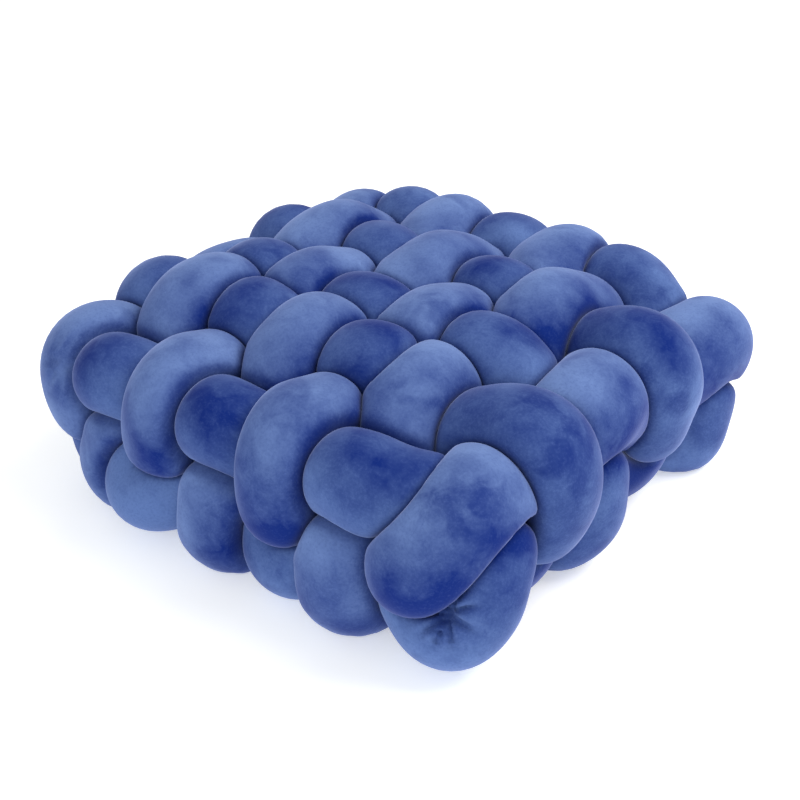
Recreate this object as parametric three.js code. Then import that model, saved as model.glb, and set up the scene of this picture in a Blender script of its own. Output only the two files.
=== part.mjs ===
// A thick square cushion woven by hand from twelve stuffed plush tubes, over one and under one.
// Millimetres, +Z up. The origin is the middle of the flat underside.
// Seven tubes run lengthwise (along Y) and five run crosswise (along X). Each tube is a closed hoop:
// over the top, round one side, along the underside and up round the other side, with its two ends
// sewn together. Where two tubes meet they press each other flat along a plane that divides the way between
// their centrelines in proportion to their radii.

import * as THREE from "three";

// Driving dimensions of the weave.
const TOP_WEAVE = 113; // height of the middle of the weave on the top
const FLATTENED = 7; // how far the lowest lobes are pressed in by the surface underneath
const OVER_LIFT = 20; // centreline of the tube that passes over, outward from the middle of the weave
const UNDER_DROP = 12; // centreline of the tube that passes under, inward from it
const EDGE_UNDER_DROP = 18; // the same, at the edges, where the outer tube draws tight over it
const SKIN_GAP = 0.4; // between the skins of two tubes that press together
const FACET_GAP = 0.5; // the same, at the middle of a facet
const CREASE = 8; // how softly a free lobe rounds into the face pressed flat by its neighbour

// Where each tube lies on the top and on the underside: x of the lengthwise ones, from the right, and y of
// the crosswise ones, from the front. radius is the stuffed tube's where nothing presses on it. The
// spacing and the stuffing are as uneven as hand weaving left them.
const LENGTHWISE = [
  { name: "lengthwise_1", top: 165.5, under: 148.5, radius: 39 },
  { name: "lengthwise_2", top: 94.5, under: 94.5, radius: 41.5 },
  { name: "lengthwise_3", top: 44.5, under: 44.5, radius: 43.5 },
  { name: "lengthwise_4", top: -14.5, under: -14.5, radius: 44 },
  { name: "lengthwise_5", top: -74.5, under: -74.5, radius: 42.5 },
  { name: "lengthwise_6", top: -127.5, under: -121.5, radius: 43 },
  { name: "lengthwise_7", top: -162.5, under: -162.5, radius: 42 },
];
const CROSSWISE = [
  { name: "crosswise_1", top: -151, under: -153, radius: 33 },
  { name: "crosswise_2", top: -86, under: -86, radius: 41.5 },
  { name: "crosswise_3", top: -25, under: -25, radius: 40.5 },
  { name: "crosswise_4", top: 66, under: 66, radius: 39.5 },
  { name: "crosswise_5", top: 151, under: 151, radius: 39.5 },
];

// How the weave turns down at the edges of the cushion, at its x sides and its y sides: lean is how far
// outward it faces for each unit it faces up or down, and sink is how much lower it lies.
const EDGE = {
  top: { x: { lean: 0.9, sink: 6 }, y: { lean: 1.4, sink: 12 } },
  under: { x: { lean: 1.1, sink: 10 }, y: { lean: 1.05, sink: 4 } },
};
const INNER_LEAN = 0.3; // share of the lean that the tube passing under takes

// Lift of the outer tube at the edges: one that wraps round the side, or one that runs along it. waist is
// how far the middle of a wrap stands out from the side.
const SIDE = {
  lengthwise: { wrap: 32, run: 10, waist: 12 },
  crosswise: { wrap: 23, run: 31, waist: 17 },
};

// Where the hand weaving drew a tube out of its even place: at its crossing with another, on the top or on
// the underside, or half way down the side next to that crossing. x, y and z are the way it was drawn.
const DRAWN = [
  { tube: "lengthwise_1", crossing: "crosswise_1", on: "top", x: -5, y: 15, z: 5 },
  { tube: "lengthwise_1", crossing: "crosswise_1", on: "side", x: 0, y: -10, z: 10 },
  { tube: "lengthwise_1", crossing: "crosswise_1", on: "under", x: 5, y: -5, z: 0 },
  { tube: "lengthwise_1", crossing: "crosswise_3", on: "top", x: 0, y: 10, z: 5 },
  { tube: "lengthwise_1", crossing: "crosswise_5", on: "top", x: 5, y: 0, z: -5 },
  { tube: "lengthwise_2", crossing: "crosswise_1", on: "under", x: 0, y: 5, z: 0 },
  { tube: "lengthwise_2", crossing: "crosswise_2", on: "top", x: -10, y: 0, z: -5 },
  { tube: "lengthwise_3", crossing: "crosswise_1", on: "top", x: 0, y: 10, z: -5 },
  { tube: "lengthwise_3", crossing: "crosswise_1", on: "side", x: 5, y: -5, z: -5 },
  { tube: "lengthwise_4", crossing: "crosswise_1", on: "under", x: -5, y: 5, z: 0 },
  { tube: "lengthwise_5", crossing: "crosswise_1", on: "top", x: 10, y: 5, z: -5 },
  { tube: "lengthwise_5", crossing: "crosswise_1", on: "side", x: 5, y: -5, z: -5 },
  { tube: "lengthwise_6", crossing: "crosswise_1", on: "under", x: -10, y: 10, z: 0 },
  { tube: "lengthwise_6", crossing: "crosswise_2", on: "top", x: 5, y: 0, z: 5 },
  { tube: "lengthwise_7", crossing: "crosswise_1", on: "top", x: -5, y: 5, z: 0 },
  { tube: "lengthwise_7", crossing: "crosswise_1", on: "side", x: -5, y: 5, z: -5 },
  { tube: "crosswise_1", crossing: "lengthwise_1", on: "top", x: 15, y: 5, z: 10 },
  { tube: "crosswise_1", crossing: "lengthwise_1", on: "side", x: 10, y: 0, z: -5 },
  { tube: "crosswise_1", crossing: "lengthwise_1", on: "under", x: 10, y: 0, z: 5 },
  { tube: "crosswise_1", crossing: "lengthwise_2", on: "top", x: 5, y: 5, z: -5 },
  { tube: "crosswise_1", crossing: "lengthwise_4", on: "top", x: -5, y: 0, z: -5 },
  { tube: "crosswise_1", crossing: "lengthwise_5", on: "under", x: -15, y: -15, z: 5 },
  { tube: "crosswise_1", crossing: "lengthwise_6", on: "top", x: -5, y: 0, z: -5 },
  { tube: "crosswise_1", crossing: "lengthwise_7", on: "under", x: 15, y: 10, z: 0 },
  { tube: "crosswise_4", crossing: "lengthwise_1", on: "top", x: 0, y: -10, z: 5 },
  { tube: "crosswise_5", crossing: "lengthwise_1", on: "under", x: 5, y: -20, z: -5 },
];

// How finely the skins are faceted.
const SIDES = 14;
const STATION_LENGTH = 18;
const SAMPLE_LENGTH = 6;
const PRESS_REACH = 48; // past a tube's radius, the furthest centreline that can press on it
const OWN_REACH = 90; // stretch of a tube, either way, that bends with a section rather than pressing on it
const BEND_EASE = 0.97; // keeps neighbouring sections from meeting inside a tight bend
const DRAW_IN_PASSES = 4;
const LEAST_REACH = 1.5;

const PLUSH = { color: 0x3d50a6, roughness: 0.9, metalness: 0 };

const last = (rows) => rows.length - 1;
const thickest = Math.max(...LENGTHWISE.map((row) => row.radius));
const WEAVE_HEIGHT = { top: TOP_WEAVE, under: thickest - FLATTENED + OVER_LIFT };

// The lengthwise tube passes outside on the top where i + j is even, and on the underside where it is odd.
function lengthwiseIsOutside(i, j, layer) {
  const even = (i + j) % 2 === 0;
  return layer === "top" ? even : !even;
}

// Which way the edge lies at a crossing: -1, 0 or 1 along x and y.
function edgeAt(i, j) {
  const x = i === 0 ? 1 : i === last(LENGTHWISE) ? -1 : 0;
  const y = j === 0 ? -1 : j === last(CROSSWISE) ? 1 : 0;
  return { x, y };
}

// The middle of the weave where lengthwise tube i crosses crosswise tube j, and which way the outer tube
// stands out from it there. The inner tube is drawn in more nearly straight up or down.
function crossing(i, j, layer, leaning) {
  const edge = edgeAt(i, j);
  const { x: sideways, y: endways } = EDGE[layer];
  const sink = Math.abs(edge.x) * sideways.sink + Math.abs(edge.y) * endways.sink;
  const middle = new THREE.Vector3(LENGTHWISE[i][layer], CROSSWISE[j][layer], WEAVE_HEIGHT[layer] - sink);
  const up = layer === "top" ? 1 : -1;
  const lean = new THREE.Vector3(edge.x * sideways.lean, edge.y * endways.lean, 0).multiplyScalar(leaning);
  const outward = lean.setZ(up).normalize();
  return { middle, outward };
}

// How far the outer tube's centreline stands out from the middle of the weave at a crossing.
function lift(family, i, j) {
  const edge = edgeAt(i, j);
  const wraps = family === "lengthwise" ? edge.y !== 0 : edge.x !== 0;
  const runs = family === "lengthwise" ? edge.x !== 0 : edge.y !== 0;
  if (wraps && runs) return (SIDE[family].wrap + SIDE[family].run) / 2;
  if (wraps) return SIDE[family].wrap;
  return runs ? SIDE[family].run : OVER_LIFT;
}

// How far the inner tube's centreline is drawn in there.
function drop(i, j) {
  const edge = edgeAt(i, j);
  return edge.x === 0 && edge.y === 0 ? UNDER_DROP : EDGE_UNDER_DROP;
}

// How far the hand weaving drew a tube out of its even place, in this spot.
function drawn(family, i, j, spot) {
  const pair = [LENGTHWISE[i].name, CROSSWISE[j].name];
  const [tube, other] = family === "lengthwise" ? pair : pair.reverse();
  const row = DRAWN.find((entry) => entry.tube === tube && entry.crossing === other && entry.on === spot);
  return row ? new THREE.Vector3(row.x, row.y, row.z) : new THREE.Vector3();
}

// The closed centreline of one tube, through its crossings on the top and then on the underside.
function centreline(family, index) {
  const across = family === "lengthwise" ? CROSSWISE : LENGTHWISE;
  const points = [];
  for (const layer of ["top", "under"]) {
    const order = [...across.keys()];
    if (layer === "under") order.reverse();
    for (const other of order) {
      const [i, j] = family === "lengthwise" ? [index, other] : [other, index];
      const outside = lengthwiseIsOutside(i, j, layer) === (family === "lengthwise");
      const { middle, outward } = crossing(i, j, layer, outside ? 1 : INNER_LEAN);
      const even = middle.addScaledVector(outward, outside ? lift(family, i, j) : -drop(i, j));
      points.push(even.add(drawn(family, i, j, layer)));
    }
    points.push(waist(family, index, order[last(order)]));
  }
  return new THREE.CatmullRomCurve3(points, true, "centripetal");
}

// Half way down the side, where a tube wraps from one layer to the other.
function waist(family, index, other) {
  const [i, j] = family === "lengthwise" ? [index, other] : [other, index];
  const edge = edgeAt(i, j);
  const middle = crossing(i, j, "top", 1).middle.lerp(crossing(i, j, "under", 1).middle, 0.5);
  if (family === "lengthwise") middle.y += edge.y * SIDE.lengthwise.waist;
  else middle.x += edge.x * SIDE.crosswise.waist;
  return middle.add(drawn(family, i, j, "side"));
}

// Lays out one tube's centreline, with points along it for its neighbours to press against.
function layTube(family, index) {
  const { name, radius } = (family === "lengthwise" ? LENGTHWISE : CROSSWISE)[index];
  const curve = centreline(family, index);
  curve.arcLengthDivisions = 1000;
  const length = curve.getLength();
  const spaced = curve.getSpacedPoints(Math.round(length / SAMPLE_LENGTH)).slice(1);
  const samples = spaced.map((at, k) => ({ at, along: (k + 1) / spaced.length, radius, name }));
  return { name, radius, curve, length, samples };
}

// The smaller of two lengths, rounded off where they are nearly alike.
function softMin(a, b, softness) {
  const near = Math.max(softness - Math.abs(a - b), 0) / softness;
  return Math.min(a, b) - (near * near * softness) / 4;
}

// How far a skin reaches from its centre before it meets the plane that it shares with a point of a
// neighbour's centreline. The plane divides the way between them in proportion to the two radii.
function reachTo(points, centre, direction, radius, gap) {
  let reach = Infinity;
  const offset = new THREE.Vector3();
  for (const point of points) {
    offset.subVectors(point.at, centre);
    const along = offset.dot(direction);
    if (along <= 0) continue;
    const share = radius / (radius + point.radius);
    reach = Math.min(reach, (share * offset.lengthSq() - (gap / 2) * offset.length()) / along);
  }
  return reach;
}

// Splits the points round a section into the stretch of its own tube that bends with it, and all else
// that is near enough to press on it.
function surroundings(tube, centre, along, samples) {
  const own = [];
  const pressing = [];
  for (const point of samples) {
    if (point.at.distanceTo(centre) > tube.radius + PRESS_REACH) continue;
    const apart = Math.abs(point.along - along);
    const arc = Math.min(apart, 1 - apart) * tube.length;
    const bendsAlong = point.name === tube.name && arc < OWN_REACH;
    (bendsAlong ? own : pressing).push(point);
  }
  return { own, pressing };
}

// The sections of one tube: each has a centre, a direction for each corner and how far the skin reaches.
function sections(tube, samples) {
  const stations = Math.round(tube.length / STATION_LENGTH);
  const frames = tube.curve.computeFrenetFrames(stations, true);
  return Array.from({ length: stations }, (_, s) => {
    const centre = tube.curve.getPointAt(s / stations);
    const { own, pressing } = surroundings(tube, centre, s / stations, samples);
    const beside = own.filter((point) => point.at.distanceTo(centre) > SAMPLE_LENGTH / 2);
    const directions = Array.from({ length: SIDES }, (__, k) => {
      const turn = (2 * Math.PI * k) / SIDES;
      return new THREE.Vector3()
        .addScaledVector(frames.normals[s], Math.cos(turn))
        .addScaledVector(frames.binormals[s], Math.sin(turn));
    });
    const reach = directions.map((direction) => {
      const pressed = reachTo(pressing, centre, direction, tube.radius, SKIN_GAP);
      const bent = BEND_EASE * reachTo(beside, centre, direction, tube.radius, 0);
      return softMin(softMin(tube.radius, pressed, CREASE), bent, CREASE);
    });
    return { centre, own, pressing, directions, reach };
  });
}

// A corner of a section, kept on or above the surface underneath.
function corner(section, k) {
  const direction = section.directions[k];
  const toFloor = direction.z < 0 ? section.centre.z / -direction.z : Infinity;
  const point = section.centre.clone().addScaledVector(direction, Math.min(section.reach[k], toFloor));
  point.z = Math.max(point.z, 0);
  return point;
}

// How far a point of the skin lies past the plane that its tube shares with any other.
function trespass(point, section, radius) {
  let own = section.own[0];
  for (const candidate of section.own) {
    if (candidate.at.distanceToSquared(point) < own.at.distanceToSquared(point)) own = candidate;
  }
  let past = 0;
  const toPoint = new THREE.Vector3().subVectors(point, own.at);
  const offset = new THREE.Vector3();
  for (const other of section.pressing) {
    offset.subVectors(other.at, own.at);
    const apart = offset.length();
    const share = radius / (radius + other.radius);
    past = Math.max(past, toPoint.dot(offset) / apart - share * apart + FACET_GAP / 2);
  }
  return past;
}

// Draws in the corners of each facet that cuts across a neighbour between its corners.
function drawIn(ring, radius) {
  const pull = ring.map(() => new Array(SIDES).fill(0));
  for (let s = 0; s < ring.length; s += 1) {
    const next = (s + 1) % ring.length;
    for (let k = 0; k < SIDES; k += 1) {
      const beside = (k + 1) % SIDES;
      const corners = [[s, k], [next, k], [next, beside], [s, beside]];
      for (const group of [[0, 1], [0, 3], [0, 2], [0, 1, 2], [0, 2, 3]]) {
        const middle = new THREE.Vector3();
        for (const g of group) middle.add(corner(ring[corners[g][0]], corners[g][1]));
        middle.divideScalar(group.length);
        const past = trespass(middle, ring[s], radius);
        for (const g of group) {
          const [t, c] = corners[g];
          pull[t][c] = Math.max(pull[t][c], past);
        }
      }
    }
  }
  ring.forEach((section, s) => {
    section.reach = section.reach.map((reach, k) => Math.max(reach - pull[s][k], LEAST_REACH));
  });
}

// Joins a closed ring of sections into one body with its faces pointing out.
function ringGeometry(ring) {
  const positions = ring.flatMap((section) => section.reach.flatMap((_, k) => corner(section, k).toArray()));
  const index = [];
  for (let s = 0; s < ring.length; s += 1) {
    const next = (s + 1) % ring.length;
    for (let k = 0; k < SIDES; k += 1) {
      const beside = (k + 1) % SIDES;
      const [a, b] = [s * SIDES + k, next * SIDES + k];
      const [c, d] = [next * SIDES + beside, s * SIDES + beside];
      index.push(a, c, b, a, d, c);
    }
  }
  const geometry = new THREE.BufferGeometry();
  geometry.setAttribute("position", new THREE.Float32BufferAttribute(positions, 3));
  geometry.setIndex(index);
  geometry.computeVertexNormals();
  return geometry;
}

const tubes = [
  ...LENGTHWISE.map((_, i) => layTube("lengthwise", i)),
  ...CROSSWISE.map((_, j) => layTube("crosswise", j)),
];

const samples = tubes.flatMap((tube) => tube.samples);

const cushion = new THREE.Group();
for (const tube of tubes) {
  const ring = sections(tube, samples);
  for (let pass = 0; pass < DRAW_IN_PASSES; pass += 1) drawIn(ring, tube.radius);
  const mesh = new THREE.Mesh(ringGeometry(ring), new THREE.MeshStandardMaterial(PLUSH));
  mesh.name = tube.name;
  cushion.add(mesh);
}

// Sets the origin under the middle of the whole cushion.
const box = new THREE.Box3().setFromObject(cushion);
const centre = box.getCenter(new THREE.Vector3());
cushion.position.set(-centre.x, -centre.y, -box.min.z);

export default cushion;
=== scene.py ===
import math

import bpy
import numpy as np
from mathutils import Matrix, Vector


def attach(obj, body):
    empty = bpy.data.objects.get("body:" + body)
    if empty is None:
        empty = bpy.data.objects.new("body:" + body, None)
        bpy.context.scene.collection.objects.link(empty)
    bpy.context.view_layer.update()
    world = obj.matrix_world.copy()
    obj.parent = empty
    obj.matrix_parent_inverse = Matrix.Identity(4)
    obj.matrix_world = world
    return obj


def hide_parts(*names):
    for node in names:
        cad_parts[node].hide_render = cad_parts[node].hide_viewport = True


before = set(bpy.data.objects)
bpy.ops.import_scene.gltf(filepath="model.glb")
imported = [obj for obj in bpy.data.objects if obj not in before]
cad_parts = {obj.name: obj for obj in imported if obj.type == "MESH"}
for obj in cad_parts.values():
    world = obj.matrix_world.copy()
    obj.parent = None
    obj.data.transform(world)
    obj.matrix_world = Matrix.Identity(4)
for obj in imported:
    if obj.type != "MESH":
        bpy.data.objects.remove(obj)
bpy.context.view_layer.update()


# The stuffed tubes.
# Twelve tubes of short-pile plush filled with fibre, seven lengthwise (along Y) and five crosswise
# (along X), woven over one and under one. Each is a closed hoop round the cushion, its two ends sewn
# together, and where two tubes meet their skins press flat against each other.
MM = 0.001

# Where each tube lies on the top and on the underside, and how thick it is where nothing presses on it:
# x of the lengthwise tubes from the right, y of the crosswise tubes from the front, in millimetres.
LENGTHWISE = [
    {"name": "lengthwise_1", "top": 165.5, "under": 148.5, "radius": 39},
    {"name": "lengthwise_2", "top": 94.5, "under": 94.5, "radius": 41.5},
    {"name": "lengthwise_3", "top": 44.5, "under": 44.5, "radius": 43.5},
    {"name": "lengthwise_4", "top": -14.5, "under": -14.5, "radius": 44},
    {"name": "lengthwise_5", "top": -74.5, "under": -74.5, "radius": 42.5},
    {"name": "lengthwise_6", "top": -127.5, "under": -121.5, "radius": 43},
    {"name": "lengthwise_7", "top": -162.5, "under": -162.5, "radius": 42},
]
CROSSWISE = [
    {"name": "crosswise_1", "top": -151, "under": -153, "radius": 33},
    {"name": "crosswise_2", "top": -86, "under": -86, "radius": 41.5},
    {"name": "crosswise_3", "top": -25, "under": -25, "radius": 40.5},
    {"name": "crosswise_4", "top": 66, "under": 66, "radius": 39.5},
    {"name": "crosswise_5", "top": 151, "under": 151, "radius": 39.5},
]

# Where the hand weaving drew a tube out of its even place: at its crossing with another, on the top or on
# the underside, or half way down the side next to that crossing. x, y and z are how far it was drawn, in
# millimetres.
DRAWN = [
    {"tube": "lengthwise_1", "crossing": "crosswise_1", "on": "top", "x": -5, "y": 15, "z": 5},
    {"tube": "lengthwise_1", "crossing": "crosswise_1", "on": "side", "x": 0, "y": -10, "z": 10},
    {"tube": "lengthwise_1", "crossing": "crosswise_1", "on": "under", "x": 5, "y": -5, "z": 0},
    {"tube": "lengthwise_1", "crossing": "crosswise_3", "on": "top", "x": 0, "y": 10, "z": 5},
    {"tube": "lengthwise_1", "crossing": "crosswise_5", "on": "top", "x": 5, "y": 0, "z": -5},
    {"tube": "lengthwise_2", "crossing": "crosswise_1", "on": "under", "x": 0, "y": 5, "z": 0},
    {"tube": "lengthwise_2", "crossing": "crosswise_2", "on": "top", "x": -10, "y": 0, "z": -5},
    {"tube": "lengthwise_3", "crossing": "crosswise_1", "on": "top", "x": 0, "y": 10, "z": -5},
    {"tube": "lengthwise_3", "crossing": "crosswise_1", "on": "side", "x": 5, "y": -5, "z": -5},
    {"tube": "lengthwise_4", "crossing": "crosswise_1", "on": "under", "x": -5, "y": 5, "z": 0},
    {"tube": "lengthwise_5", "crossing": "crosswise_1", "on": "top", "x": 10, "y": 5, "z": -5},
    {"tube": "lengthwise_5", "crossing": "crosswise_1", "on": "side", "x": 5, "y": -5, "z": -5},
    {"tube": "lengthwise_6", "crossing": "crosswise_1", "on": "under", "x": -10, "y": 10, "z": 0},
    {"tube": "lengthwise_6", "crossing": "crosswise_2", "on": "top", "x": 5, "y": 0, "z": 5},
    {"tube": "lengthwise_7", "crossing": "crosswise_1", "on": "top", "x": -5, "y": 5, "z": 0},
    {"tube": "lengthwise_7", "crossing": "crosswise_1", "on": "side", "x": -5, "y": 5, "z": -5},
    {"tube": "crosswise_1", "crossing": "lengthwise_1", "on": "top", "x": 15, "y": 5, "z": 10},
    {"tube": "crosswise_1", "crossing": "lengthwise_1", "on": "side", "x": 10, "y": 0, "z": -5},
    {"tube": "crosswise_1", "crossing": "lengthwise_1", "on": "under", "x": 10, "y": 0, "z": 5},
    {"tube": "crosswise_1", "crossing": "lengthwise_2", "on": "top", "x": 5, "y": 5, "z": -5},
    {"tube": "crosswise_1", "crossing": "lengthwise_4", "on": "top", "x": -5, "y": 0, "z": -5},
    {"tube": "crosswise_1", "crossing": "lengthwise_5", "on": "under", "x": -15, "y": -15, "z": 5},
    {"tube": "crosswise_1", "crossing": "lengthwise_6", "on": "top", "x": -5, "y": 0, "z": -5},
    {"tube": "crosswise_1", "crossing": "lengthwise_7", "on": "under", "x": 15, "y": 10, "z": 0},
    {"tube": "crosswise_4", "crossing": "lengthwise_1", "on": "top", "x": 0, "y": -10, "z": 5},
    {"tube": "crosswise_5", "crossing": "lengthwise_1", "on": "under", "x": 5, "y": -20, "z": -5},
]

# The weave, in millimetres: its height, how far the outer and the inner tube of a crossing stand off its
# middle, and how it leans and sinks at the x and y sides of the top and of the underside.
WEAVE_HEIGHT = {"top": 113, "under": 57}
OVER_LIFT = 20
UNDER_DROP = 12
EDGE_UNDER_DROP = 18
INNER_LEAN = 0.3  # of the outer tube's lean, how far the inner one leans
EDGE = {
    "top": {"lean": (0.9, 1.4), "sink": (6, 12)},
    "under": {"lean": (1.1, 1.05), "sink": (10, 4)},
}
# At the sides of the cushion: how far a tube that wraps round the edge and one that runs along it stand
# out at a crossing, and how far out a wrapping tube's waist is half way down.
SIDE = {
    "lengthwise": {"wrap": 32, "run": 10, "waist": 12},
    "crosswise": {"wrap": 23, "run": 31, "waist": 17},
}


def edge_at(i, j):
    """Which way the edge lies at a crossing: -1, 0 or 1 along x and y."""
    x = 1 if i == 0 else -1 if i == len(LENGTHWISE) - 1 else 0
    y = -1 if j == 0 else 1 if j == len(CROSSWISE) - 1 else 0
    return x, y


def crossing(i, j, layer, leaning):
    """The middle of the weave at a crossing, and which way the outer tube stands out from it."""
    x, y = edge_at(i, j)
    lean, sink = EDGE[layer]["lean"], EDGE[layer]["sink"]
    height = WEAVE_HEIGHT[layer] - abs(x) * sink[0] - abs(y) * sink[1]
    middle = np.array([LENGTHWISE[i][layer], CROSSWISE[j][layer], height], float)
    up = 1 if layer == "top" else -1
    outward = np.array([x * lean[0] * leaning, y * lean[1] * leaning, up])
    return middle, outward / np.linalg.norm(outward)


def lift(family, i, j):
    """How far the outer tube's centreline stands out at a crossing."""
    x, y = edge_at(i, j)
    wraps, runs = (y, x) if family == "lengthwise" else (x, y)
    side = SIDE[family]
    if wraps and runs:
        return (side["wrap"] + side["run"]) / 2
    return side["wrap"] if wraps else side["run"] if runs else OVER_LIFT


def drawn(family, i, j, spot):
    """How far the hand weaving drew a tube out of its even place, in this spot."""
    pair = (LENGTHWISE[i]["name"], CROSSWISE[j]["name"])
    tube, other = pair if family == "lengthwise" else pair[::-1]
    for row in DRAWN:
        if (row["tube"], row["crossing"], row["on"]) == (tube, other, spot):
            return np.array([row["x"], row["y"], row["z"]], float)
    return np.zeros(3)


def centreline_points(family, index):
    """The points that one tube's centreline goes through: its crossings over the top, its waist at the
    side, its crossings back along the underside and its other waist."""
    across = CROSSWISE if family == "lengthwise" else LENGTHWISE
    points = {}
    for layer in ("top", "under"):
        order = list(range(len(across)))
        if layer == "under":
            order.reverse()
        for other in order:
            i, j = (index, other) if family == "lengthwise" else (other, index)
            lengthwise_outside = (i + j) % 2 == (0 if layer == "top" else 1)
            outside = lengthwise_outside == (family == "lengthwise")
            middle, outward = crossing(i, j, layer, 1 if outside else INNER_LEAN)
            drop = EDGE_UNDER_DROP if any(edge_at(i, j)) else UNDER_DROP
            even = middle + outward * (lift(family, i, j) if outside else -drop)
            points[across[other]["name"], layer] = even + drawn(family, i, j, layer)
        x, y = edge_at(i, j)
        waist = (crossing(i, j, "top", 1)[0] + crossing(i, j, "under", 1)[0]) / 2
        axis, side = (1, y) if family == "lengthwise" else (0, x)
        waist[axis] += side * SIDE[family]["waist"]
        points[across[other]["name"], "side"] = waist + drawn(family, i, j, "side")
    return points


def closed_curve(points, step):
    """A closed smooth curve through points, resampled at about step apart. Its knots are set by the root
    of the distance, so that it doesn't swing out where they lie close together."""
    samples = 80  # between two of the points, before the curve is resampled
    dense = []
    count = len(points)
    for k in range(count):
        p0, p1, p2, p3 = (points[(k + n) % count] for n in (-1, 0, 1, 2))
        d0, d1, d2 = (math.sqrt(np.linalg.norm(b - a)) for a, b in ((p0, p1), (p1, p2), (p2, p3)))
        leave = ((p1 - p0) / d0 - (p2 - p0) / (d0 + d1) + (p2 - p1) / d1) * d1
        arrive = ((p2 - p1) / d1 - (p3 - p1) / (d1 + d2) + (p3 - p2) / d2) * d1
        t = np.linspace(0, 1, samples, endpoint=False)[:, None]
        cubic = 2 * p1 - 2 * p2 + leave + arrive
        square = -3 * p1 + 3 * p2 - 2 * leave - arrive
        dense.append(p1 + leave * t + square * t**2 + cubic * t**3)
    dense = np.vstack(dense)
    lengths = np.linalg.norm(np.roll(dense, -1, axis=0) - dense, axis=1)
    along = np.concatenate([[0], np.cumsum(lengths)])
    closed = np.vstack([dense, dense[:1]])
    stations = int(round(along[-1] / step))
    at = np.linspace(0, along[-1], stations, endpoint=False)
    return np.column_stack([np.interp(at, along, closed[:, axis]) for axis in range(3)]), along[-1]


def blurred(values, spread, axis=0):
    """Values round a closed ring, each averaged with its neighbours on either side."""
    reach = int(3 * spread)
    weights = np.exp(-0.5 * (np.arange(-reach, reach + 1) / spread) ** 2)
    weights /= weights.sum()
    return sum(w * np.roll(values, k, axis=axis) for w, k in zip(weights, range(-reach, reach + 1)))


def cross_frames(curve):
    """Tangents, and two directions across the tube that don't twist along it except to close up."""
    tangents = np.roll(curve, -1, axis=0) - np.roll(curve, 1, axis=0)
    tangents /= np.linalg.norm(tangents, axis=1)[:, None]
    upright = abs(tangents[0][2]) >= 0.9
    side = np.cross(tangents[0], (0, 1, 0) if upright else (0, 0, 1))
    sides = []
    for tangent in list(tangents) + [tangents[0]]:
        side = side - tangent * (side @ tangent)
        side /= np.linalg.norm(side)
        sides.append(side)
    turned = np.cross(tangents[0], sides[0])
    twist = math.atan2(sides[-1] @ turned, sides[-1] @ sides[0])
    sides = np.array(sides[:-1])
    others = np.cross(tangents, sides)
    untwist = -twist * np.arange(len(curve)) / len(curve)
    cos, sin = np.cos(untwist)[:, None], np.sin(untwist)[:, None]
    return tangents, sides * cos + others * sin, others * cos - sides * sin


def soft_min(a, b, softness):
    """The smaller of two lengths, rounded off where they are nearly alike."""
    near = np.maximum(softness - np.abs(a - b), 0) / softness
    return np.minimum(a, b) - near**2 * softness / 4


# The skins. Lengths are in millimetres.
AROUND = 72  # faces round a tube
STEP = 1.6  # length of a face along it
SKIN_GAP = 0.3  # between two skins that press together
CREASE_SHADE_DEPTH = 7  # how far beside a pressed face the painted crease shade reaches
CREASE = 5  # how softly a free lobe rounds into the face pressed flat by its neighbour
CURVE_EASE = 5.4  # how far along a tube its centreline is smoothed
SKIN_EASE = 2.8  # how far along a tube its skin is smoothed
SKIN_EASE_AROUND = 1.0  # and round it, in faces
FLOOR_EASE = 3.0  # how softly a lobe rounds into its flat on the floor
OWN_REACH = 90  # the stretch of a tube, either way, that bends with a section and doesn't press on it
PRESS_REACH = 50  # past a tube's radius, the furthest centreline that can press on it
BEND_EASE = 0.97  # of the room on the inside of a bend, how much the skin fills
LUMP = {"height": 1.0, "lengths": (118, 67, 41)}  # the filling's unevenness, in waves along the tube
FAR = 1e6  # further than any skin reaches
TINY = 1e-6  # the least that anything is divided by

# Where the skin is pinched in at the inner edge of a tight bend and gathers in small folds that run out
# from the pinch: the place of the pinch, how far the folds run, how deep they are and how many fill a full
# turn.
PUCKERS = [
    {"tube": "crosswise_1", "x": 185, "y": -190, "z": 60, "run": 27, "depth": 8.0, "folds": 9},
    {"tube": "lengthwise_7", "x": -170, "y": -195, "z": 120, "run": 26, "depth": 6.0, "folds": 7},
]
PUCKER_DIMPLE = 0.28  # of the run of the folds, how wide the dimple at the pinch is
PUCKER_FOLDS = {"rise": 0.3, "fade": 0.75}  # of the run, where the folds have risen and where they fade
PUCKER_SWELL = 0.3  # of their depth, how far the skin between the folds stands out
FOLD_SHARPNESS = 3  # a power: the higher it is, the narrower the folds are
FOLD_SWAY = {"round": 1.5, "outwards": 2}  # in radians, so that the folds are neither even nor straight

tubes = []
for family, rows in (("lengthwise", LENGTHWISE), ("crosswise", CROSSWISE)):
    for index, row in enumerate(rows):
        lobes = centreline_points(family, index)
        curve, length = closed_curve(list(lobes.values()), STEP)
        curve = blurred(curve, CURVE_EASE / STEP)
        tubes.append({**row, "family": family, "lobes": lobes, "curve": curve, "length": length})
every_at = np.vstack([tube["curve"] for tube in tubes])
every_radius = np.concatenate([np.full(len(tube["curve"]), tube["radius"]) for tube in tubes])
every_tube = np.concatenate([np.full(len(tube["curve"]), k) for k, tube in enumerate(tubes)])
every_along = np.concatenate([np.arange(len(tube["curve"])) / len(tube["curve"]) for tube in tubes])


def reach_to(offsets, distances, directions, share, gap):
    """How far a skin reaches along each direction before it meets a plane shared with a neighbour."""
    ahead = offsets @ directions.T
    room = (share * distances**2 - gap / 2 * distances)[:, None]
    reach = np.where(ahead > TINY, room / np.maximum(ahead, TINY), FAR)
    return reach.min(axis=0, initial=FAR)


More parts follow.
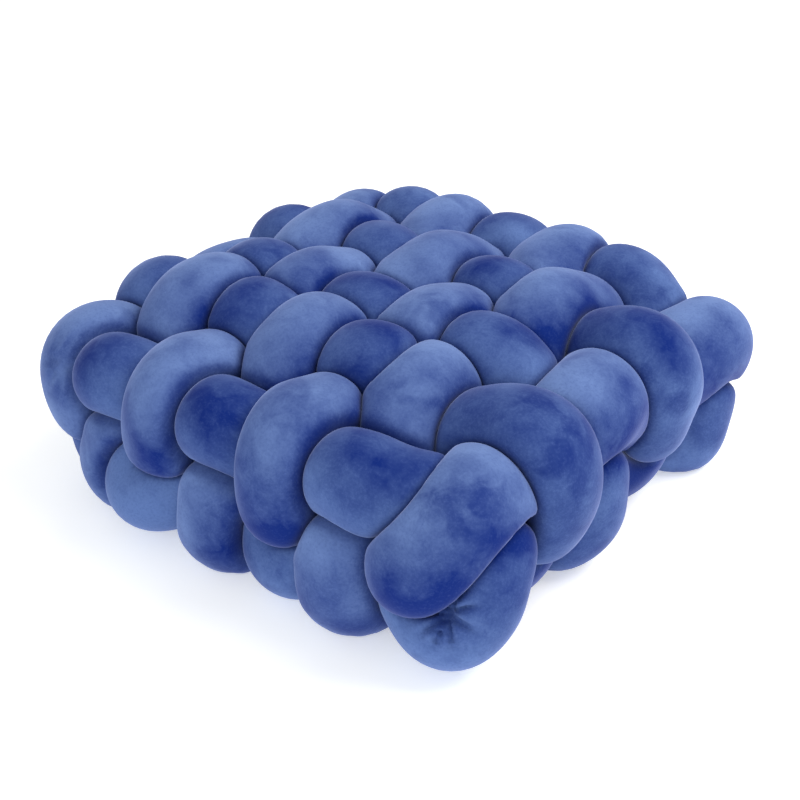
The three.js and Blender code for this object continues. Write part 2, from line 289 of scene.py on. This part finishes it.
def lumps(along, turns, number):
    """How far the filling pushes the skin out or lets it sink, in a few soft waves along the tube. The
    fixed factors only set tubes and waves apart, so that no two swell alike."""
    height = 0
    for n, length in enumerate(LUMP["lengths"]):
        waves = round(along[-1] / length)
        swing = math.sin(3.1 * number + 5.3 * n)
        sway = 2 * swing * np.sin(turns + 2.2 * number + n)
        phase = 2 * np.pi * waves * along[:, None] / along[-1] + sway
        height = height + np.sin(phase + (n + 1) * turns + 7 * swing)
    return LUMP["height"] * height / 2


def puckers(tube, points, tangents, directions):
    """How deep the skin is drawn in round its pinches, in a dimple and the folds that run out from it."""
    depth = np.zeros(points.shape[:2])
    for row in PUCKERS:
        if row["tube"] != tube["name"]:
            continue
        offset = points - (row["x"], row["y"], row["z"])
        away = np.linalg.norm(offset, axis=2)
        station, side = np.unravel_index(np.argmin(away), away.shape)
        lengthwise = tangents[station]
        across = np.cross(directions[station, side], lengthwise)
        turn = np.arctan2(offset @ across, offset @ lengthwise)
        share = away / row["run"]
        phase = row["folds"] * turn + FOLD_SWAY["round"] * np.sin(2 * turn) + FOLD_SWAY["outwards"] * share
        fold = (0.5 + 0.5 * np.cos(phase)) ** FOLD_SHARPNESS
        dimple = np.exp(-((share / PUCKER_DIMPLE) ** 2))
        risen = 1 - np.exp(-((share / PUCKER_FOLDS["rise"]) ** 2))
        fading = risen * np.exp(-((share / PUCKER_FOLDS["fade"]) ** 4))
        depth += row["depth"] * (dimple + (fold - PUCKER_SWELL) * fading)
    return depth


def skin(number, tube):
    """The skin of one tube: its rings of points, and for each point how much painted shade it gets beside
    pressed faces and in the folds of its puckers.
    """
    curve, radius = tube["curve"], tube["radius"]
    stations = len(curve)
    tangents, sides, others = cross_frames(curve)
    turns = 2 * np.pi * np.arange(AROUND) / AROUND
    cos, sin = np.cos(turns)[None, :, None], np.sin(turns)[None, :, None]
    directions = cos * sides[:, None] + sin * others[:, None]

    # The room that each ring has in every direction: as far as the tubes that press on it, and as far as
    # the inside of its own tube's bend.
    pressed = np.empty((stations, AROUND))
    bent = np.empty((stations, AROUND))
    for s, centre in enumerate(curve):
        offsets = every_at - centre
        distances = np.linalg.norm(offsets, axis=1)
        apart = np.abs(every_along - s / stations)
        arc = np.minimum(apart, 1 - apart) * tube["length"]
        own = (every_tube == number) & (arc < OWN_REACH)
        near = distances < radius + PRESS_REACH
        pressing = near & ~own
        share = radius / (radius + every_radius[pressing])
        pressed[s] = reach_to(offsets[pressing], distances[pressing], directions[s], share, gap=SKIN_GAP)
        beside = near & own & (distances > STEP / 2)
        inside = reach_to(offsets[beside], distances[beside], directions[s], share=0.5, gap=0)
        bent[s] = BEND_EASE * inside

    along = np.linspace(0, tube["length"], stations, endpoint=False)
    free = radius + lumps(along, turns, number)
    reach = soft_min(soft_min(free, pressed, CREASE), bent, CREASE)
    reach = blurred(blurred(reach, SKIN_EASE / STEP), SKIN_EASE_AROUND, axis=1)
    points = curve[:, None] + directions * reach[..., None]
    pinched = puckers(tube, points, tangents, directions)
    points = points - directions * pinched[..., None]
    # Painted shade: darker where a neighbour's pressed face is near, and in the folds of the puckers.
    tucked = np.clip((CREASE_SHADE_DEPTH - (pressed - radius)) / CREASE_SHADE_DEPTH, 0, 1) ** 2
    tucked = np.maximum(tucked, np.clip(pinched / CREASE_SHADE_DEPTH, 0, 1) ** 2)
    return points, tucked


def outward(points):
    """Which way the skin faces at each of its points."""
    along = np.roll(points, -1, axis=0) - np.roll(points, 1, axis=0)
    around = np.roll(points, -1, axis=1) - np.roll(points, 1, axis=1)
    facing = np.cross(around, along)
    return facing / np.maximum(np.linalg.norm(facing, axis=2), TINY)[..., None]


def settle(points):
    """Flattens what would lie below the surface that the cushion rests on."""
    height = points[..., 2]
    points[..., 2] = np.maximum(-soft_min(-height, 0, FLOOR_EASE), 0)
    return points


def ring_mesh(name, points):
    """Joins closed rings of points, in millimetres, into one closed mesh in metres."""
    stations, around = points.shape[:2]
    s, k = np.meshgrid(np.arange(stations), np.arange(around), indexing="ij")
    after, beside = (s + 1) % stations, (k + 1) % around
    corners = (s * around + k, s * around + beside, after * around + beside, after * around + k)
    faces = np.stack(corners, axis=-1)
    mesh = bpy.data.meshes.new(name)
    mesh.vertices.add(stations * around)
    mesh.vertices.foreach_set("co", (points * MM).ravel())
    mesh.loops.add(faces.size)
    mesh.loops.foreach_set("vertex_index", faces.ravel())
    mesh.polygons.add(stations * around)
    mesh.polygons.foreach_set("loop_start", np.arange(0, faces.size, 4))
    mesh.polygons.foreach_set("use_smooth", np.ones(stations * around, bool))
    mesh.update(calc_edges=True)
    mesh.validate()
    return mesh


class Shade:
    """One output socket of a material's nodes. Arithmetic on it adds Math nodes."""

    def __init__(self, tree, socket):
        self.tree = tree
        self.socket = socket

    def node(self, kind, settings, inputs, output=0):
        """Adds a node: its settings first, then the values or links of its sockets."""
        made = self.tree.nodes.new(kind)
        for name, value in settings.items():
            if name == "stops":
                ramp = made.color_ramp
                while len(ramp.elements) < len(value):
                    ramp.elements.new(1)
                for element, (place, level) in zip(ramp.elements, value):
                    element.position = place
                    element.color = (level, level, level, 1)
            else:
                setattr(made, name, value)
        for name, value in inputs.items():
            if isinstance(value, Shade):
                self.tree.links.new(value.socket, made.inputs[name])
            else:
                made.inputs[name].default_value = value
        return Shade(self.tree, made.outputs[output])

    def maths(self, operation, a, b):
        return self.node("ShaderNodeMath", {"operation": operation}, {0: a, 1: b})

    def __add__(self, other):
        return self.maths("ADD", self, other)

    __radd__ = __add__

    def __mul__(self, other):
        return self.maths("MULTIPLY", self, other)

    __rmul__ = __mul__

    def __sub__(self, other):
        return self.maths("SUBTRACT", self, other)

    def __rsub__(self, other):
        return self.maths("SUBTRACT", other, self)


def srgb(code):
    """A colour written as six hex digits, as linear light."""
    levels = [int(code[k : k + 2], 16) / 255 for k in (0, 2, 4)]
    linear = [c / 12.92 if c <= 0.04045 else ((c + 0.055) / 1.055) ** 2.4 for c in levels]
    return (*linear, 1)


# Colours mixed into the plush: the painted crease shade, the grain's pale tips and dark pits, and the
# sheen tint.
PILE = {"tucked": "14286A", "tips": "6F86C4", "pits": "152A70", "sheen": "B4C0F0"}


def plush(name, light, deep):
    """Violet-blue plush of one way of the nap: painted light where the skin faces the way set for its
    family and painted shade where it faces away, deep where the pile is brushed flat in soft patches and
    finger marks, painted shade in the creases at a crossing and in folds, with a fine grain and a pale
    sheen."""
    material = bpy.data.materials.new(name)
    material.use_nodes = True
    tree = material.node_tree
    tree.nodes.clear()
    place = Shade(tree, tree.nodes.new("ShaderNodeTexCoord").outputs["Object"])

    def on_skin(name):
        return place.node("ShaderNodeAttribute", {"attribute_name": name}, {}, output=2)

    def noise(scale, detail, roughness, distortion):
        inputs = {"Vector": place, "Scale": scale, "Detail": detail, "Roughness": roughness}
        return place.node("ShaderNodeTexNoise", {}, {**inputs, "Distortion": distortion})

    def ramp(value, stops):
        return place.node("ShaderNodeValToRGB", {"stops": stops}, {"Fac": value})

    def mix(amount, first, second):
        settings = {"data_type": "RGBA"}
        return place.node("ShaderNodeMix", settings, {0: amount, 6: first, 7: second}, output=2)

    tucked = on_skin("tucked")
    stands = on_skin("stands")
    marked = on_skin("marked")
    patches = noise(scale=17, detail=1, roughness=0.5, distortion=0.4)
    strokes = noise(scale=75, detail=3, roughness=0.6, distortion=0.6)
    grain = noise(scale=520, detail=3, roughness=0.7, distortion=0)
    smudges = noise(scale=46, detail=1, roughness=0.5, distortion=0.3)
    smudge_areas = noise(scale=14, detail=1, roughness=0.5, distortion=0)

    # Painted light and shade by the way the skin faces, each lobe's own tone, and pile brushed flat in
    # soft patches and in finer strokes.
    shade_and_brushing_level = 0.5 - (stands - 0.5) * 0.95 + (patches - 0.5) * 1.4 + (strokes - 0.5) * 0.5
    shade_and_brushing = ramp(shade_and_brushing_level, [(0.03, 0), (0.9, 1)])
    marks = ramp(smudges, [(0.53, 0), (0.68, 1)]) * ramp(smudge_areas, [(0.45, 0), (0.6, 1)])
    fingers = ramp(marked + (strokes - 0.5) * 1.2, [(0.25, 0), (0.75, 1)])
    tips = ramp(grain, [(0.5, 0), (0.75, 1)]) * (0.24 - shade_and_brushing * 0.16)
    pits = ramp(grain, [(0.25, 1), (0.5, 0)]) * 0.25
    base = mix(shade_and_brushing, srgb(light), srgb(deep))
    base = mix(marks * 0.4, base, srgb(deep))
    base = mix(fingers * 0.5, base, srgb(deep))
    # Painted shade in the creases at crossings and in folds.
    base = mix(tucked * 0.45, base, srgb(PILE["tucked"]))
    base = mix(tips, base, srgb(PILE["tips"]))
    base = mix(pits, base, srgb(PILE["pits"]))
    pile = grain * 0.6 + strokes * 0.4
    bump = place.node("ShaderNodeBump", {}, {"Strength": 0.35, "Distance": 0.6 * MM, "Height": pile})
    surface = place.node(
        "ShaderNodeBsdfPrincipled",
        {},
        {
            "Base Color": base,
            "Roughness": 1.0,
            "Specular IOR Level": 0.1,
            "Sheen Weight": 0.55,
            "Sheen Roughness": 0.35,
            "Sheen Tint": srgb(PILE["sheen"]),
            "Normal": bump,
        },
    )
    tree.links.new(surface.socket, tree.nodes.new("ShaderNodeOutputMaterial").inputs["Surface"])
    return material


# Painted light: which way the skin of each family faces where it is painted lightest, and by how much.
LIGHT_FACING = {"lengthwise": (-0.6, 0.35, 0.6), "crosswise": (0.2, -0.3, -0.3)}
# Two copies of one plush: the crosswise one is painted darker, as painted shade for how light falls across
# its nap.
PLUSH = {
    "lengthwise": plush("plush_lengthwise", light="6880B4", deep="0C2772"),
    "crosswise": plush("plush_crosswise", light="5B74AA", deep="0C266F"),
}

# Lobes drawn lighter, where up is above zero, and darker, where it is below zero.
LOBE_TONES = [
    {"tube": "lengthwise_1", "crossing": "crosswise_1", "on": "top", "up": 0.3},
    {"tube": "lengthwise_1", "crossing": "crosswise_1", "on": "side", "up": -0.4},
    {"tube": "lengthwise_1", "crossing": "crosswise_5", "on": "top", "up": 0.2},
    {"tube": "lengthwise_2", "crossing": "crosswise_1", "on": "under", "up": 0.2},
    {"tube": "lengthwise_2", "crossing": "crosswise_4", "on": "top", "up": -0.2},
    {"tube": "lengthwise_3", "crossing": "crosswise_1", "on": "side", "up": -0.2},
    {"tube": "lengthwise_4", "crossing": "crosswise_1", "on": "under", "up": 0.4},
    {"tube": "lengthwise_4", "crossing": "crosswise_2", "on": "top", "up": -0.2},
    {"tube": "lengthwise_5", "crossing": "crosswise_5", "on": "top", "up": 0.2},
    {"tube": "lengthwise_6", "crossing": "crosswise_1", "on": "under", "up": 0.3},
    {"tube": "lengthwise_7", "crossing": "crosswise_1", "on": "side", "up": 0.8},
    {"tube": "crosswise_1", "crossing": "lengthwise_1", "on": "side", "up": -0.7},
    {"tube": "crosswise_1", "crossing": "lengthwise_1", "on": "under", "up": 0.8},
    {"tube": "crosswise_1", "crossing": "lengthwise_3", "on": "under", "up": 0.3},
    {"tube": "crosswise_1", "crossing": "lengthwise_4", "on": "top", "up": -0.2},
    {"tube": "crosswise_1", "crossing": "lengthwise_5", "on": "under", "up": 0.3},
    {"tube": "crosswise_2", "crossing": "lengthwise_1", "on": "side", "up": -0.2},
    {"tube": "crosswise_2", "crossing": "lengthwise_3", "on": "top", "up": -0.2},
    {"tube": "crosswise_3", "crossing": "lengthwise_1", "on": "side", "up": -0.2},
    {"tube": "crosswise_3", "crossing": "lengthwise_4", "on": "top", "up": -0.2},
    {"tube": "crosswise_3", "crossing": "lengthwise_6", "on": "top", "up": 0.2},
    {"tube": "crosswise_4", "crossing": "lengthwise_1", "on": "top", "up": -0.1},
    {"tube": "crosswise_4", "crossing": "lengthwise_1", "on": "side", "up": 0.2},
    {"tube": "crosswise_4", "crossing": "lengthwise_3", "on": "top", "up": -0.2},
    {"tube": "crosswise_5", "crossing": "lengthwise_4", "on": "top", "up": 0.2},
    {"tube": "crosswise_5", "crossing": "lengthwise_6", "on": "top", "up": 0.3},
]
LOBE_TONE_FADE = 30  # past a lobe's radius, how far off its lightening or darkening has faded

# Where fingers have brushed small dark marks into the pile, and how far each spreads.
FINGER_MARKS = [
    {"tube": "lengthwise_1", "x": 175, "y": -185, "z": 135, "spread": 13},
    {"tube": "lengthwise_1", "x": 190, "y": -185, "z": 125, "spread": 9},
    {"tube": "lengthwise_1", "x": 195, "y": -165, "z": 135, "spread": 14},
    {"tube": "crosswise_1", "x": 5, "y": -195, "z": 135, "spread": 8},
    {"tube": "crosswise_2", "x": 180, "y": -85, "z": 165, "spread": 13},
    {"tube": "crosswise_2", "x": 205, "y": -85, "z": 155, "spread": 9},
    {"tube": "crosswise_2", "x": 210, "y": -110, "z": 145, "spread": 14},
    {"tube": "crosswise_2", "x": 220, "y": -100, "z": 125, "spread": 10},
    {"tube": "crosswise_4", "x": 195, "y": 25, "z": 140, "spread": 10},
    {"tube": "crosswise_4", "x": 220, "y": 40, "z": 115, "spread": 11},
]


def marked(tube, points):
    """How much of a finger mark lies at each point."""
    share = np.zeros(points.shape[:2])
    for row in FINGER_MARKS:
        if row["tube"] == tube["name"]:
            away = np.linalg.norm(points - (row["x"], row["y"], row["z"]), axis=2)
            share = np.maximum(share, np.exp(-((away / row["spread"]) ** 2)))
    return share


def lobe_tone(tube, points):
    """How much lighter each point is drawn by the lobe tones, and darker where this is below zero."""
    up = np.zeros(points.shape[:2])
    for row in LOBE_TONES:
        if row["tube"] == tube["name"]:
            middle = tube["lobes"][row["crossing"], row["on"]]
            away = np.maximum(np.linalg.norm(points - middle, axis=2) - tube["radius"], 0)
            up += row["up"] * np.exp(-((away / LOBE_TONE_FADE) ** 2))
    return up


for number, tube in enumerate(tubes):
    points, tucked = skin(number, tube)
    points = settle(points)
    mesh = ring_mesh(tube["name"] + "_skin", points)
    # Painted light and shade by the way the skin faces, plus each lobe's own tone.
    stands = 0.5 + 0.5 * outward(points) @ np.array(LIGHT_FACING[tube["family"]]) + lobe_tone(tube, points)
    skin_paint = {"tucked": tucked, "stands": stands, "marked": marked(tube, points)}
    for name, values in skin_paint.items():
        attribute = mesh.attributes.new(name, "FLOAT", "POINT")
        attribute.data.foreach_set("value", values.ravel().astype(np.float32))
    mesh.materials.append(PLUSH[tube["family"]])
    piece = bpy.data.objects.new(mesh.name, mesh)
    bpy.context.scene.collection.objects.link(piece)
    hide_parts(tube["name"])
    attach(piece, "root")


# The floor.
# A plain pale translucent studio table, lit gently from below so that shadows on it stay faint, and wide
# enough that its edge doesn't show in the photograph's view.
FLOOR_SIDE = 12.0
FLOOR_DROP = 0.3 * MM  # so that the flats on the cushion's underside don't lie in the table's own plane
FLOOR_COLOUR = (0.93, 0.93, 0.92, 1)
GLOW_COLOUR = (1, 1, 0.97, 1)
GLOW_STRENGTH = 0.42
half = FLOOR_SIDE / 2
corners = [(-half, -half, 0), (half, -half, 0), (half, half, 0), (-half, half, 0)]
floor_mesh = bpy.data.meshes.new("floor")
floor_mesh.from_pydata(corners, [], [(0, 1, 2, 3)])
floor_paint = bpy.data.materials.new("floor")
floor_paint.use_nodes = True
floor_surface = floor_paint.node_tree.nodes["Principled BSDF"]
floor_surface.inputs["Base Color"].default_value = FLOOR_COLOUR
floor_surface.inputs["Roughness"].default_value = 0.9
floor_surface.inputs["Emission Color"].default_value = GLOW_COLOUR
floor_surface.inputs["Emission Strength"].default_value = GLOW_STRENGTH
floor_mesh.materials.append(floor_paint)
floor = bpy.data.objects.new("floor", floor_mesh)
floor.location.z = -FLOOR_DROP
bpy.context.scene.collection.objects.link(floor)


# The studio light.
# Soft light from all round, with one large warm soft box above and a weaker, bluer one from the front.
ROOM_LIGHT = 0.6
AIM = Vector((0, 0, 0.08))  # about the middle of the cushion, in metres
scene = bpy.context.scene
scene.view_settings.view_transform = "Standard"
world = bpy.data.worlds.new("studio")
world.use_nodes = True
world.node_tree.nodes["Background"].inputs["Color"].default_value = (1, 1, 1, 1)
world.node_tree.nodes["Background"].inputs["Strength"].default_value = ROOM_LIGHT
scene.world = world

SOFT_BOXES = [
    {"name": "key", "at": (0.9, 0.7, 1.5), "size": 1.2, "watts": 26.5, "colour": (1.0, 0.98, 0.93)},
    {"name": "front", "at": (0.6, -1.5, 0.9), "size": 1.2, "watts": 8.5, "colour": (0.8, 0.9, 1.0)},
]
for box in SOFT_BOXES:
    light = bpy.data.lights.new(box["name"], "AREA")
    light.energy = box["watts"]
    light.size = box["size"]
    light.color = box["colour"]
    lamp = bpy.data.objects.new(box["name"], light)
    lamp.location = box["at"]
    lamp.rotation_euler = (AIM - lamp.location).to_track_quat("-Z", "Y").to_euler()
    scene.collection.objects.link(lamp)


# The camera.
# It looks down on the near corner, as in the photograph, and its small shift sets the cushion where the
# photograph has it.
AZIMUTH = math.radians(39.15)
ELEVATION = math.radians(29.56)
ROLL = math.radians(-0.41)
TARGET = Vector((-9.5, -4, 80)) * MM
DISTANCE = 960.8 * MM
LENS = 53.65  # the focal length, in millimetres on a sensor 36 mm wide
SHIFT = (0.0129, -0.0319)
back = Vector(
    (
        math.sin(AZIMUTH) * math.cos(ELEVATION),
        -math.cos(AZIMUTH) * math.cos(ELEVATION),
        math.sin(ELEVATION),
    )
)
camera_data = bpy.data.cameras.new("camera")
camera_data.sensor_width = 36
camera_data.lens = LENS
camera_data.shift_x, camera_data.shift_y = SHIFT
camera = bpy.data.objects.new("camera", camera_data)
camera.rotation_mode = "QUATERNION"
camera.location = TARGET + back * DISTANCE
level = (-back).to_track_quat("-Z", "Y")
camera.rotation_quaternion = level @ Matrix.Rotation(ROLL, 3, "Z").to_quaternion()
scene.collection.objects.link(camera)
scene.camera = camera
